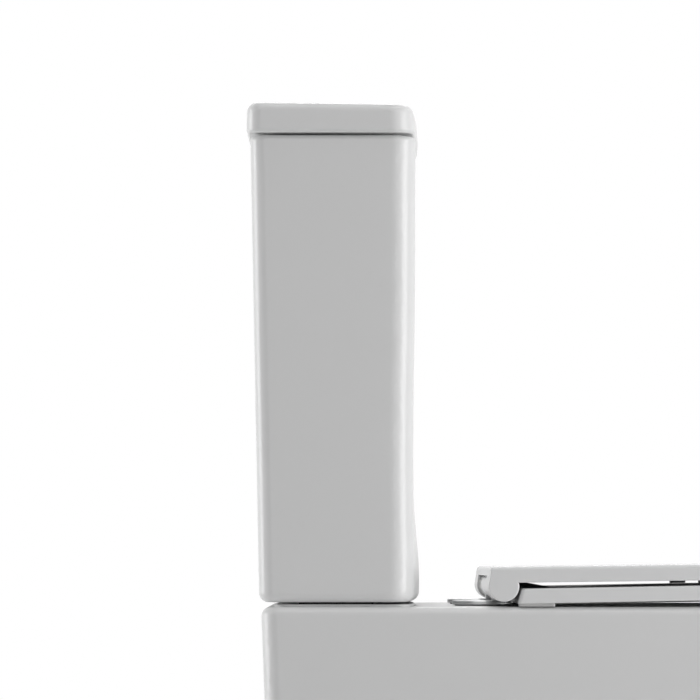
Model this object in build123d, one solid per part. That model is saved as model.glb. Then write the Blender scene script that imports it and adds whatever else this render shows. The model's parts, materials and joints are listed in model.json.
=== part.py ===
from build123d import *
import os

# Close coupled toilet with a shrouded back-to-wall pan, in millimetres.
# +Z is up and the front faces -Y. The origin is on the floor, midway along the overall length.
# "From wall" distances run forward from the wall plane, which the back of the cistern lid touches.
# "Ahead" and "above" distances on the seat are measured from the hinge axis.

# Overall
OVERALL_LENGTH = 650.0
PAN_HEIGHT = 400.0
PAN_WIDTH = 360.0

# Pan shell
PAN_BACK = 12.0
PAN_BASE_BACK = 26.0
PAN_BASE_FRONT_INSET = 70.0
PAN_BASE_SIDE_INSET = 14.0
PAN_WAIST_HEIGHT = 220.0
PAN_WAIST_BACK = 18.5
PAN_WAIST_FRONT_INSET = 20.0
PAN_WAIST_SIDE_INSET = 4.0
PAN_FRONT_BOW = 48.0
PAN_FRONT_RADIUS = 125.0
PAN_BACK_RADIUS = 13.5
PAN_EDGE_RADIUS = 7.5
PAN_WALL = 12.0
DECK_THICKNESS = 14.0
PLATFORM_RISE = 2.0
PLATFORM_INSET = 10.5
PLATFORM_FRONT = 138.0
PLATFORM_RADIUS = 12.0
PLATFORM_EDGE_RADIUS = 1.8
REAR_OPENING_WIDTH = 240.0
REAR_OPENING_HEIGHT = 326.0

# Bowl and trap
RIM_FRONT_WIDTH = 38.0
RIM_SIDE_WIDTH = 42.0
BOWL_BACK = 268.0
BOWL_WALL = 9.0
BOWL_EDGE_RADIUS = 9.0
SHOULDER_HEIGHT = 330.0
SHOULDER_INSET = 6.0
BELLY_HEIGHT = 250.0
BELLY_SIDE_INSET = 26.0
BELLY_END_INSET = 37.0
BELLY_SETBACK = 20.0
FUNNEL_HEIGHT = 150.0
FUNNEL_SIDE_SPREAD = 27.0
FUNNEL_END_SPREAD = 35.0
FUNNEL_AHEAD_OF_SUMP = 46.0
SUMP_FROM_WALL = 322.0
SUMP_SPREAD = 3.0
TRAP_RADIUS = 39.0
TRAP_FLOOR_CLEARANCE = 10.0
TRAP_DIP_FROM_WALL = 225.0
TRAP_RISE_FROM_WALL = 140.0
TRAP_BEND_RADIUS = 75.0
OUTLET_HEIGHT = 185.0
OUTLET_RADIUS = 51.0
OUTLET_LENGTH = 50.0
OUTLET_FROM_WALL = 60.0

# Flush way from the cistern to the bowl
VALVE_FROM_WALL = 72.0
CHAMBER_HALF_WIDTH = 64.0
CHAMBER_HALF_LENGTH = 44.0
CHAMBER_DEPTH = 34.0
CHAMBER_WALL = 11.0
DUCT_HALF_WIDTH = 38.0
INLET_RADIUS = 30.0
JOINT_BEHIND_BOWL = 18.0

# Cistern tank
TANK_HEIGHT = 374.4
TANK_PAD_THICKNESS = 1.6
TANK_PAD_LENGTH = 60.0
TANK_PAD_WIDTH = 14.0
TANK_PAD_CENTRES = 308.0
TANK_WIDTH_TOP = 366.0
TANK_WIDTH_BOTTOM = 352.0
TANK_BACK_TOP = 3.0
TANK_BACK_BOTTOM = 10.4
TANK_CORNER_FRONT_TOP = 136.3
TANK_CORNER_FRONT_BOTTOM = 133.2
TANK_BOW = 1.4
TANK_BELLY_BOW = 7.2
TANK_BELLY_LOW = 32.0
TANK_BELLY_HIGH = 92.0
TANK_FRONT_RADIUS = 20.0
TANK_BACK_RADIUS = 12.0
TANK_BOTTOM_RADIUS = 8.0
TANK_TOP_RADIUS = 4.5
TANK_WALL = 10.0
TANK_FLOOR = 12.0
WALL_HOLE_RADIUS = 4.0
WALL_HOLE_CENTRES = 180.0
WALL_HOLE_BELOW_RIM = 58.0

# Cistern lid
LID_GAP = 1.8
LID_HEIGHT = 25.0
LID_OVERHANG = 3.0
LID_CORNER_FRONT = 134.6
LID_BOW = 5.8
LID_FRONT_RADIUS = 20.0
LID_BACK_RADIUS = 12.0
LID_DROOP_ANGLE = 0.75
LID_FRONT_DRAFT = 1.8
LID_BACK_DRAFT = 0.5
LID_SIDE_DRAFT = 1.5
LID_EDGE_RADIUS = 8.0
LID_LOWER_EDGE_RADIUS = 3.0
LID_TOP_THICKNESS = 10.0
LID_RIB_DEPTH = 12.0
LID_RIB_THICKNESS = 7.0
LID_RIB_CLEARANCE = 3.0
LID_PAD_LENGTH = 14.0
LID_PAD_CENTRES = 240.0
LID_PAD_WIDTH = 4.5

# Flush button
BUTTON_RADIUS = 24.7
BUTTON_CLEARANCE = 0.3
BUTTON_THICKNESS = 6.0
BUTTON_BELOW_BEZEL = 0.8
BUTTON_EDGE_RADIUS = 1.0
BUTTON_SPLIT = -6.0
BUTTON_SPLIT_GAP = 0.8
BEZEL_RADIUS = 33.0
BEZEL_FLANGE = 3.0
BEZEL_EDGE_RADIUS = 1.4
BEZEL_WALL = 2.0
BEZEL_DEPTH = 32.0
BEZEL_FLOOR = 2.0
BEZEL_HOLE_CLEARANCE = 0.5
BUTTON_NUT_RADIUS = 36.0
BUTTON_NUT_HEIGHT = 9.0
THREAD_CLEARANCE = 0.05
ROD_RADIUS = 2.5
ROD_OFFSET = 13.5
ROD_GUIDE_CLEARANCE = 0.4
SPRING_RADIUS = 4.2
SPRING_WIRE_RADIUS = 0.5
SPRING_TURNS = 6
SPRING_END_GAP = 0.1

# Flush valve
BASE_FLANGE_RADIUS = 44.0
BASE_FLANGE = 4.0
BASE_GASKET = 2.0
BASE_GASKET_RADIUS = 40.0
TAIL_RADIUS = 27.0
TAIL_BORE_RADIUS = 23.0
TAIL_HOLE_CLEARANCE = 1.5
TAIL_BELOW_TANK = 32.0
BACK_NUT_RADIUS = 36.0
BACK_NUT_HEIGHT = 12.0
DOUGHNUT_CLEARANCE = 0.8
DOUGHNUT_WIDTH = 10.0
DOUGHNUT_RECESS_CLEARANCE = 1.5
HOUSING_RADIUS = 36.0
HOUSING_WALL = 3.0
HOUSING_HEIGHT = 268.0
WINDOW_WIDTH = 30.0
WINDOW_HEIGHT = 34.0
WINDOW_SILL = 6.0
CAP_THICKNESS = 4.0
TUBE_RADIUS = 11.0
TUBE_WALL = 2.0
TUBE_GUIDE_CLEARANCE = 0.4
CARRIER_RADIUS = 29.0
CARRIER_THICKNESS = 4.0
FLUSH_SEAL_THICKNESS = 4.0
FLUSH_SEAL_RADIUS = 31.0
ROCKER_PIVOT_ABOVE_CAP = 16.0
ROCKER_THICKNESS = 4.0
ROCKER_WIDTH = 4.0
ROCKER_REACH = 17.5
ROCKER_TUBE_CLEARANCE = 0.7
ROCKER_PIN_RADIUS = 2.0
ROCKER_BRACKET_WIDTH = 10.0
ROCKER_BRACKET_THICKNESS = 4.0
ROCKER_SIDE_CLEARANCE = 0.5
ROCKER_ROD_GAP = 0.3
LUG_THICKNESS = 3.0
LUG_GAP = 0.4
TUBE_ABOVE_LUG = 2.0
HALF_FLOAT_RADIUS = 6.0
HALF_FLOAT_HEIGHT = 28.0
HALF_FLOAT_DROP = 22.0
RUNNING_CLEARANCE = 0.05

# Fill valve
FILL_OFFSET = 120.0
FILL_SHANK_RADIUS = 11.0
FILL_SHANK_HOLE_CLEARANCE = 1.0
FILL_THREAD_RADIUS = 10.48
FILL_THREAD_LENGTH = 45.0
FILL_FLANGE_RADIUS = 19.0
FILL_FLANGE = 4.0
FILL_GASKET = 2.0
FILL_NUT_RADIUS = 17.0
FILL_NUT_HEIGHT = 12.0
FILL_DECK_HOLE_RADIUS = 21.0
FILL_RISER_RADIUS = 12.0
FILL_RISER_HEIGHT = 270.0
FILL_HEAD_RADIUS = 22.0
FILL_HEAD_HEIGHT = 26.0
FLOAT_RADIUS = 28.0
FLOAT_HEIGHT = 50.0
FLOAT_BORE_CLEARANCE = 0.4
FLOAT_STOP_RADIUS = 17.0
FLOAT_STOP_HEIGHT = 6.0
FLOAT_STOP_ABOVE_FLANGE = 172.0
FLOAT_STOP_GAP = 0.3
FLOAT_EAR_HEIGHT = 6.0
FLOAT_EAR_WIDTH = 10.0
FLOAT_ROD_RADIUS = 1.2
FLOAT_COLLAR_RADIUS = 3.5
FLOAT_COLLAR_HEIGHT = 2.0
FLOAT_COLLAR_GAP = 0.5
LEVER_PIVOT_OFFSET = 17.0
LEVER_PIVOT_ABOVE_HEAD = 6.0
LEVER_ARM = 25.0
LEVER_TIP = 5.0
LEVER_TAIL = 4.0
LEVER_THICKNESS = 4.0
LEVER_WIDTH = 8.0
LEVER_SLOT_WIDTH = 4.0
LEVER_SLOT_BACK = 5.0
LEVER_PIN_RADIUS = 1.5
LEVER_EAR_THICKNESS = 3.0
LEVER_EAR_LENGTH = 8.0
LEVER_EAR_TOP = 4.0
LEVER_SIDE_CLEARANCE = 0.5
FLOAT_ROD_TOP = 16.0

# Coupling of tank and pan
COUPLING_CENTRES = 172.0
COUPLING_BOLT_RADIUS = 4.0
COUPLING_BOLT_BELOW_DECK = 24.0
COUPLING_HEAD_RADIUS = 9.0
COUPLING_HEAD_HEIGHT = 5.0
COUPLING_SEAL_RADIUS = 13.0
COUPLING_SEAL_HEIGHT = 5.0
COUPLING_TANK_HOLE_RADIUS = 5.5
COUPLING_DECK_HOLE_RADIUS = 6.5
COUPLING_WASHER_RADIUS = 13.0
COUPLING_WASHER = 2.4
WING_NUT_RADIUS = 8.0
WING_NUT_HEIGHT = 10.0
WING_SPAN = 32.0
WING_THICKNESS = 4.0

# Seat hinge
HINGE_FROM_WALL = 206.0
HINGE_ABOVE_DECK = 16.4
HINGE_CENTRES = 155.0
HINGE_PLATE_RADIUS = 27.0
HINGE_PLATE_BEHIND = 12.0
HINGE_PLATE_THICKNESS = 3.5
HINGE_PLATE_EDGE_RADIUS = 1.0
HINGE_PLATE_FRONT_GAP = 1.6
HINGE_GASKET_THICKNESS = 0.7
HINGE_GASKET_INSET = 2.5
HINGE_POST_WIDTH = 16.0
HINGE_POST_RADIUS = 7.5
HINGE_POST_BACK = 6.0
HINGE_PIN_RADIUS = 3.0
HINGE_PIN_INNER = 11.0
HINGE_PIN_OUTER = 11.0
HINGE_SIDE_GAP = 1.2
HUB_RADIUS = 10.4
HUB_PLATE_GAP = 0.4
DAMPER_LENGTH = 20.0
DAMPER_RADIUS = 10.2
SEAT_BOLT_RADIUS = 4.0
SEAT_BOLT_HEAD_RADIUS = 7.0
SEAT_BOLT_HEAD = 1.2
SEAT_BOLT_BELOW_DECK = 30.0
SEAT_BOLT_HOLE_RADIUS = 7.0
SEAT_WASHER_RADIUS = 13.0
SEAT_WASHER = 3.0
SEAT_NUT_RADIUS = 11.0
SEAT_NUT_HEIGHT = 14.0

# Seat ring and cover
COVER_TILT = 0.72
RING_TILT = 1.0
SEAT_FRONT_INSET = 4.0
SEAT_SIDE_INSET = 1.0
COVER_BARREL_RADIUS = 12.4
COVER_UNDERSIDE = 2.7
COVER_THICKNESS = 13.0
COVER_EDGE_RADIUS = 3.2
COVER_LOWER_EDGE_RADIUS = 1.2
COVER_HEEL_LEAN = 2.6
RING_BELOW_AXIS = 2.1
RING_THICKNESS = 12.0
RING_BACK_TOP = 14.4
RING_BACK_BOTTOM = 10.8
RING_EDGE_RADIUS = 1.8
RING_CORNER_RADIUS = 3.5
RING_LOWER_EDGE_RADIUS = 0.8
RING_HOLE_BACK = 84.0
RING_FRONT_BORDER = 66.0
RING_SIDE_BORDER = 67.0
RING_HOLE_BACK_FLAT = 17.0
RING_HOLE_FRONT_FLAT = 12.0
RING_HOLE_BOW = 12.0
RING_HOLE_EDGE_RADIUS = 5.0
RING_LIP_DEPTH = 1.6
RING_LIP_WIDTH = 10.0
WEB_TOP = 1.9
WEB_CREST = 24.0
WEB_FOOT = 44.0
WEB_DEPTH = 4.0
BUMPER_LENGTH = 29.0
BUMPER_WIDTH = 14.0
BUMPER_EDGE_RADIUS = 1.5
BUMPER_BACK = 12.0
BUMPER_FRONT_SETBACK = 150.0
BUMPER_SIDE_INSET = 1.5
BUMPER_FRONT_SIDE_INSET = 30.0
BUMPER_GAP = 0.3
COVER_BUMPER_RADIUS = 7.0
COVER_BUMPER_BACK = 165.0
COVER_BUMPER_FRONT_SETBACK = 140.0
COVER_BUMPER_SIDE_INSET = 34.0

# Floor fixing
BRACKET_FROM_WALL = 300.0
BRACKET_LENGTH = 40.0
BRACKET_HEIGHT = 50.0
BRACKET_FOOT = 38.0
BRACKET_THICKNESS = 6.0
BRACKET_WALL_GAP = 2.0
BRACKET_HOLE_RADIUS = 4.0
BRACKET_HOLE_INSET = 16.0
SIDE_SCREW_HEIGHT = 30.0
SIDE_SCREW_RADIUS = 3.0
SIDE_SCREW_HOLE_CLEARANCE = 0.5
SIDE_SCREW_HEAD_RADIUS = 5.5
SIDE_SCREW_HEAD = 2.0
SIDE_SCREW_PAST_BRACKET = 8.0
SIDE_RECESS_RADIUS = 9.0
SIDE_RECESS_DEPTH = 5.0
SIDE_CAP_CLEARANCE = 0.1

# Heights and places that follow from the sizes above
DECK_UNDERSIDE = PAN_HEIGHT - DECK_THICKNESS
PLATFORM_TOP = PAN_HEIGHT + PLATFORM_RISE
TANK_BOTTOM = PLATFORM_TOP + TANK_PAD_THICKNESS
TANK_TOP = TANK_BOTTOM + TANK_HEIGHT
TANK_INSIDE_BOTTOM = TANK_BOTTOM + TANK_FLOOR
LID_BOTTOM = TANK_TOP + LID_GAP
LID_TOP = LID_BOTTOM + LID_HEIGHT
HINGE_HEIGHT = PAN_HEIGHT + HINGE_ABOVE_DECK
SUMP_RADIUS = TRAP_RADIUS + SUMP_SPREAD
SUMP_HEIGHT = TRAP_FLOOR_CLEARANCE + BOWL_WALL + SUMP_RADIUS
BORE_RADIUS = BUTTON_RADIUS + BUTTON_CLEARANCE
SLEEVE_RADIUS = BORE_RADIUS + BEZEL_WALL
BASE_SEAT = TANK_INSIDE_BOTTOM + BASE_GASKET + BASE_FLANGE
HOUSING_TOP = BASE_SEAT + HOUSING_HEIGHT
CAP_TOP = HOUSING_TOP + CAP_THICKNESS
ROCKER_HEIGHT = CAP_TOP + ROCKER_PIVOT_ABOVE_CAP
ROCKER_TOP = ROCKER_HEIGHT + ROCKER_THICKNESS / 2
LUG_BOTTOM = ROCKER_TOP + LUG_GAP
DOUGHNUT_INNER_RADIUS = BACK_NUT_RADIUS + DOUGHNUT_CLEARANCE
DOUGHNUT_RADIUS = DOUGHNUT_INNER_RADIUS + DOUGHNUT_WIDTH
CHAMBER_TOP = DECK_UNDERSIDE - CHAMBER_WALL
FILL_SEAT = TANK_INSIDE_BOTTOM + FILL_GASKET
FILL_RISER_BOTTOM = FILL_SEAT + FILL_FLANGE
FILL_HEAD_BOTTOM = FILL_RISER_BOTTOM + FILL_RISER_HEIGHT
FILL_HEAD_TOP = FILL_HEAD_BOTTOM + FILL_HEAD_HEIGHT
FILL_X = -FILL_OFFSET
LEVER_HEIGHT = FILL_HEAD_TOP + LEVER_PIVOT_ABOVE_HEAD
LEVER_PIVOT_X = FILL_X + LEVER_PIVOT_OFFSET
FLOAT_ROD_X = LEVER_PIVOT_X + LEVER_ARM
FLOAT_BOTTOM = FILL_RISER_BOTTOM + FLOAT_STOP_ABOVE_FLANGE + FLOAT_STOP_HEIGHT + FLOAT_STOP_GAP
HINGE_PLATE_TOP = PAN_HEIGHT + HINGE_GASKET_THICKNESS + HINGE_PLATE_THICKNESS
POST_INNER = HINGE_CENTRES / 2 - HINGE_POST_WIDTH / 2
POST_OUTER = HINGE_CENTRES / 2 + HINGE_POST_WIDTH / 2
HUB_END = POST_INNER - HINGE_SIDE_GAP
BARREL_START = POST_OUTER + HINGE_SIDE_GAP + DAMPER_LENGTH
COVER_TOP = COVER_UNDERSIDE + COVER_THICKNESS
HUB_ROOF = HUB_RADIUS + HUB_PLATE_GAP
RING_TOP = -RING_BELOW_AXIS
RING_BOTTOM = RING_TOP - RING_THICKNESS
RING_LIP_BOTTOM = RING_BOTTOM - RING_LIP_DEPTH
SEAT_FRONT = OVERALL_LENGTH - SEAT_FRONT_INSET - HINGE_FROM_WALL
SEAT_BOLT_FROM_WALL = HINGE_FROM_WALL - HINGE_PLATE_BEHIND
BASE_HALF_WIDTH = PAN_WIDTH / 2 - PAN_BASE_SIDE_INSET
SEAT_HALF_WIDTH = PAN_WIDTH / 2 - SEAT_SIDE_INSET
SIDES = (-1, 1)
RING_HOLE_FRONT = SEAT_FRONT - RING_FRONT_BORDER
RING_HOLE_HALF_WIDTH = SEAT_HALF_WIDTH - RING_SIDE_BORDER
RIM_FIND = 0.1


def y_at(from_wall):
    return OVERALL_LENGTH / 2 - from_wall


def disc(x, from_wall, low, high, radius):
    return Pos(x, y_at(from_wall), (low + high) / 2) * Cylinder(radius, high - low)


def tube(x, from_wall, low, high, outer, inner):
    return disc(x, from_wall, low, high, outer) - disc(x, from_wall, low, high, inner)


def block(x_low, x_high, near_wall, far_wall, low, high):
    centre = Pos((x_low + x_high) / 2, y_at((near_wall + far_wall) / 2), (low + high) / 2)
    return centre * Box(x_high - x_low, far_wall - near_wall, high - low)


def bar_along_x(x_low, x_high, from_wall, height, radius):
    centre = Pos((x_low + x_high) / 2, y_at(from_wall), height)
    return centre * Rot(0, 90, 0) * Cylinder(radius, x_high - x_low)


def bar_along_y(x, near_wall, far_wall, height, radius):
    centre = Pos(x, y_at((near_wall + far_wall) / 2), height)
    return centre * Rot(90, 0, 0) * Cylinder(radius, far_wall - near_wall)


def hexagon(x, from_wall, low, high, radius):
    return Pos(x, y_at(from_wall), low) * extrude(RegularPolygon(radius, 6), high - low)


def soft_outline(height, back, front, half_width, back_radius, front_radius, bow):
    """Plan with straight sides, a straight back and a bowed front, all corners rounded."""
    y_back = y_at(back)
    y_corner = y_at(front - bow)
    outline = make_face(
        [
            Line((-half_width, y_back), (half_width, y_back)),
            Line((half_width, y_back), (half_width, y_corner)),
            ThreePointArc((half_width, y_corner), (0, y_at(front)), (-half_width, y_corner)),
            Line((-half_width, y_corner), (-half_width, y_back)),
        ]
    )
    outline = fillet(outline.vertices().sort_by(Axis.Y)[-2:], back_radius)
    outline = fillet(outline.vertices().sort_by(Axis.Y)[:2], front_radius)
    return Pos(0, 0, height) * outline


def seat_profile(*points):
    """Side profile of a seat piece, from (ahead, above) points about the hinge axis."""
    return make_face(Polyline(*points, close=True))


def seat_extrusion(profile, x_low, x_high):
    """Side profile drawn as (ahead, above), stretched along X and set at the hinge axis."""
    plane = Plane(origin=(x_high, 0, 0), x_dir=(0, -1, 0), z_dir=(-1, 0, 0))
    return plane * extrude(profile, x_high - x_low)


def on_hinge(shape, tilt):
    """Tilts a seat piece modelled level about the axis and sets it in place."""
    return Pos(0, y_at(HINGE_FROM_WALL), HINGE_HEIGHT) * Rot(-tilt, 0, 0) * shape


def seat_slab(bottom, thickness, back):
    """Slab with the plan of the pan's front, about the hinge axis, cut straight at the back."""
    outline = soft_outline(
        bottom,
        HINGE_FROM_WALL + back - PAN_BACK_RADIUS,
        HINGE_FROM_WALL + SEAT_FRONT,
        SEAT_HALF_WIDTH,
        PAN_BACK_RADIUS,
        PAN_FRONT_RADIUS,
        PAN_FRONT_BOW,
    )
    slab = Pos(0, -y_at(HINGE_FROM_WALL), 0) * extrude(outline, thickness)
    top = bottom + thickness
    behind = back - PAN_BACK_RADIUS
    waste = seat_profile((behind, bottom), (back, bottom), (back, top), (behind, top))
    return slab - seat_extrusion(waste, -SEAT_HALF_WIDTH, SEAT_HALF_WIDTH)


def pan_section(height, back, front_inset, side_inset, wall=0.0):
    return soft_outline(
        height,
        back + wall,
        OVERALL_LENGTH - front_inset - wall,
        PAN_WIDTH / 2 - side_inset - wall,
        PAN_BACK_RADIUS - wall,
        PAN_FRONT_RADIUS - wall,
        PAN_FRONT_BOW,
    )


def pan_shell():
    base = (PAN_BASE_BACK, PAN_BASE_FRONT_INSET, PAN_BASE_SIDE_INSET)
    waist = (PAN_WAIST_BACK, PAN_WAIST_FRONT_INSET, PAN_WAIST_SIDE_INSET)
    deck = (PAN_BACK, 0.0, 0.0)
    outside = loft(
        [pan_section(0, *base), pan_section(PAN_WAIST_HEIGHT, *waist), pan_section(PAN_HEIGHT, *deck)]
    )
    outside = fillet(outside.edges().group_by(Axis.Z)[-1], PAN_EDGE_RADIUS)
    inside = loft(
        [
            pan_section(0, *base, PAN_WALL),
            pan_section(PAN_WAIST_HEIGHT, *waist, PAN_WALL),
            pan_section(DECK_UNDERSIDE, *deck, PAN_WALL),
        ]
    )
    return outside - inside


def platform():
    outline = soft_outline(
        DECK_UNDERSIDE,
        PAN_BACK + PLATFORM_INSET,
        PLATFORM_FRONT,
        PAN_WIDTH / 2 - PLATFORM_INSET,
        PLATFORM_RADIUS,
        PLATFORM_RADIUS,
        TANK_BELLY_BOW,
    )
    raised = extrude(outline, PLATFORM_TOP - DECK_UNDERSIDE)
    return fillet(raised.edges().group_by(Axis.Z)[-1], PLATFORM_EDGE_RADIUS)


def bowl_section(height, half_width, half_length, from_wall, wall):
    return Pos(0, y_at(from_wall), height) * Ellipse(half_width + wall, half_length + wall)


def bowl_form(wall):
    """Bowl with its sump, grown by a wall thickness for the outside."""
    half_width = PAN_WIDTH / 2 - RIM_SIDE_WIDTH
    half_length = (OVERALL_LENGTH - RIM_FRONT_WIDTH - BOWL_BACK) / 2
    centre = BOWL_BACK + half_length
    top = PAN_HEIGHT if wall == 0 else DECK_UNDERSIDE
    shoulder = (half_width - SHOULDER_INSET, half_length - SHOULDER_INSET, centre)
    belly = (half_width - BELLY_SIDE_INSET, half_length - BELLY_END_INSET, centre - BELLY_SETBACK)
    funnel_place = SUMP_FROM_WALL + FUNNEL_AHEAD_OF_SUMP
    funnel = (TRAP_RADIUS + FUNNEL_SIDE_SPREAD, TRAP_RADIUS + FUNNEL_END_SPREAD, funnel_place)
    sections = [
        bowl_section(top, half_width, half_length, centre, wall),
        bowl_section(SHOULDER_HEIGHT, *shoulder, wall),
        bowl_section(BELLY_HEIGHT, *belly, wall),
        bowl_section(FUNNEL_HEIGHT, *funnel, wall),
        bowl_section(SUMP_HEIGHT, TRAP_RADIUS, TRAP_RADIUS, SUMP_FROM_WALL, wall),
    ]
    sump = Pos(0, y_at(SUMP_FROM_WALL), SUMP_HEIGHT) * Sphere(SUMP_RADIUS + wall)
    return loft(sections) + sump


def trap_form(radius):
    path = FilletPolyline(
        (0, y_at(SUMP_FROM_WALL), SUMP_HEIGHT),
        (0, y_at(TRAP_DIP_FROM_WALL), SUMP_HEIGHT),
        (0, y_at(TRAP_RISE_FROM_WALL), OUTLET_HEIGHT),
        (0, y_at(OUTLET_FROM_WALL), OUTLET_HEIGHT),
        radius=TRAP_BEND_RADIUS,
    )
    return sweep(Plane(origin=path @ 0, z_dir=path % 0) * Circle(radius), path=path)


def flush_way(wall):
    """Chamber under the tank and the duct to the bowl, grown by a wall for the outside."""
    bottom = CHAMBER_TOP - CHAMBER_DEPTH - wall
    top = CHAMBER_TOP + wall
    front = VALVE_FROM_WALL + CHAMBER_HALF_LENGTH - CHAMBER_WALL + wall
    back = VALVE_FROM_WALL - CHAMBER_HALF_LENGTH + CHAMBER_WALL - wall
    half_width = CHAMBER_HALF_WIDTH - CHAMBER_WALL + wall
    duct_half_width = DUCT_HALF_WIDTH - CHAMBER_WALL + wall
    chamber = block(-half_width, half_width, back, front, bottom, top)
    duct_end = BOWL_BACK + 2 * BOWL_WALL
    return chamber + block(-duct_half_width, duct_half_width, VALVE_FROM_WALL, duct_end, bottom, top)


def make_pan_shell():
    """Skirt, deck and rim, with the raised platform for the tank."""
    body = pan_shell() + platform() - bowl_form(0.0)
    recess_radius = DOUGHNUT_RADIUS + DOUGHNUT_RECESS_CLEARANCE
    body -= disc(0, VALVE_FROM_WALL, DECK_UNDERSIDE, PLATFORM_TOP, recess_radius)
    body -= disc(FILL_X, VALVE_FROM_WALL, DECK_UNDERSIDE, PLATFORM_TOP, FILL_DECK_HOLE_RADIUS)
    half_opening = REAR_OPENING_WIDTH / 2
    body -= block(-half_opening, half_opening, 0, PAN_BASE_BACK + PAN_WALL, 0, REAR_OPENING_HEIGHT)
    for side in SIDES:
        bolt_x = side * COUPLING_CENTRES / 2
        body -= disc(bolt_x, VALVE_FROM_WALL, DECK_UNDERSIDE, PLATFORM_TOP, COUPLING_DECK_HOLE_RADIUS)
        seat_x = side * HINGE_CENTRES / 2
        body -= disc(seat_x, SEAT_BOLT_FROM_WALL, DECK_UNDERSIDE, PAN_HEIGHT, SEAT_BOLT_HOLE_RADIUS)
        body -= side_recess(side)
    back_edge = y_at(BOWL_BACK)
    rim = body.edges().filter_by(lambda edge: abs(edge.bounding_box().min.Z - PAN_HEIGHT) < RIM_FIND)
    rim = rim.filter_by(lambda edge: abs(edge.bounding_box().max.Y - back_edge) < RIM_FIND)
    return fillet(rim, BOWL_EDGE_RADIUS)


def pan_waterways():
    """Bowl, trap and flush way, cast apart and joined under the deck on flat faces."""
    outlet_end = OUTLET_FROM_WALL + OUTLET_LENGTH
    body = bowl_form(BOWL_WALL) + trap_form(TRAP_RADIUS + BOWL_WALL)
    body += bar_along_y(0, OUTLET_FROM_WALL, outlet_end, OUTLET_HEIGHT, OUTLET_RADIUS)
    body += flush_way(CHAMBER_WALL)
    body -= bowl_form(0.0) + trap_form(TRAP_RADIUS)
    body -= flush_way(0.0)
    body -= disc(0, VALVE_FROM_WALL, CHAMBER_TOP, DECK_UNDERSIDE, INLET_RADIUS)
    joint = BOWL_BACK - JOINT_BEHIND_BOWL
    chamber_bottom = CHAMBER_TOP - CHAMBER_DEPTH - CHAMBER_WALL
    trap_zone = block(-PAN_WIDTH / 2, PAN_WIDTH / 2, 0, joint, 0, chamber_bottom)
    duct_zone = block(-PAN_WIDTH / 2, PAN_WIDTH / 2, 0, joint, chamber_bottom, DECK_UNDERSIDE)
    return body - trap_zone - duct_zone, body & trap_zone, body & duct_zone


def side_recess(side):
    """Screw hole through the skirt, with the recess that its cap closes."""
    floor = BASE_HALF_WIDTH - SIDE_RECESS_DEPTH
    ends = sorted((side * floor, side * PAN_WIDTH / 2))
    recess = bar_along_x(*ends, BRACKET_FROM_WALL, SIDE_SCREW_HEIGHT, SIDE_RECESS_RADIUS)
    ends = sorted((side * (floor - PAN_WALL), side * PAN_WIDTH / 2))
    hole_radius = SIDE_SCREW_RADIUS + SIDE_SCREW_HOLE_CLEARANCE
    return recess + bar_along_x(*ends, BRACKET_FROM_WALL, SIDE_SCREW_HEIGHT, hole_radius)


def tank_section(rise, wall=0.0):
    """Plan of the tank at a rise above its bottom: it tapers, and its front swells low down."""
    share = rise / TANK_HEIGHT
    ramp = (TANK_BELLY_HIGH - rise) / (TANK_BELLY_HIGH - TANK_BELLY_LOW)
    ramp = min(1.0, max(0.0, ramp))
    bow = TANK_BOW + (TANK_BELLY_BOW - TANK_BOW) * ramp * ramp * (3 - 2 * ramp)
    back = TANK_BACK_BOTTOM + (TANK_BACK_TOP - TANK_BACK_BOTTOM) * share
    front = TANK_CORNER_FRONT_BOTTOM + (TANK_CORNER_FRONT_TOP - TANK_CORNER_FRONT_BOTTOM) * share
    width = TANK_WIDTH_BOTTOM + (TANK_WIDTH_TOP - TANK_WIDTH_BOTTOM) * share
    return soft_outline(
        TANK_BOTTOM + rise,
        back + wall,
        front + bow - wall,
        width / 2 - wall,
        TANK_BACK_RADIUS - wall,
        TANK_FRONT_RADIUS - wall,
        bow,
    )


def make_cistern_tank():
    belly_middle = (TANK_BELLY_LOW + TANK_BELLY_HIGH) / 2
    upper_middle = (TANK_BELLY_HIGH + TANK_HEIGHT) / 2
    rises = [TANK_BELLY_LOW, belly_middle, TANK_BELLY_HIGH, upper_middle, TANK_HEIGHT]
    body = loft([tank_section(rise) for rise in [0.0] + rises])
    body = fillet(body.edges().group_by(Axis.Z)[0], TANK_BOTTOM_RADIUS)
    body = fillet(body.edges().group_by(Axis.Z)[-1], TANK_TOP_RADIUS)
    body -= loft([tank_section(rise, TANK_WALL) for rise in (TANK_FLOOR, TANK_HEIGHT)])
    tail_hole = TAIL_RADIUS + TAIL_HOLE_CLEARANCE
    body -= disc(0, VALVE_FROM_WALL, TANK_BOTTOM, TANK_INSIDE_BOTTOM, tail_hole)
    fill_hole = FILL_SHANK_RADIUS + FILL_SHANK_HOLE_CLEARANCE
    body -= disc(FILL_X, VALVE_FROM_WALL, TANK_BOTTOM, TANK_INSIDE_BOTTOM, fill_hole)
    hole_height = TANK_TOP - WALL_HOLE_BELOW_RIM
    for side in SIDES:
        bolt_x = side * COUPLING_CENTRES / 2
        body -= disc(bolt_x, VALVE_FROM_WALL, TANK_BOTTOM, TANK_INSIDE_BOTTOM, COUPLING_TANK_HOLE_RADIUS)
        hole_x = side * WALL_HOLE_CENTRES / 2
        body -= bar_along_y(hole_x, 0, VALVE_FROM_WALL, hole_height, WALL_HOLE_RADIUS)
    return body


def lid_outline(height, back, front_inset, side_inset):
    return soft_outline(
        height,
        back,
        LID_CORNER_FRONT + LID_BOW - front_inset,
        TANK_WIDTH_TOP / 2 + LID_OVERHANG - side_inset,
        LID_BACK_RADIUS,
        LID_FRONT_RADIUS,
        LID_BOW,
    )


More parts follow.
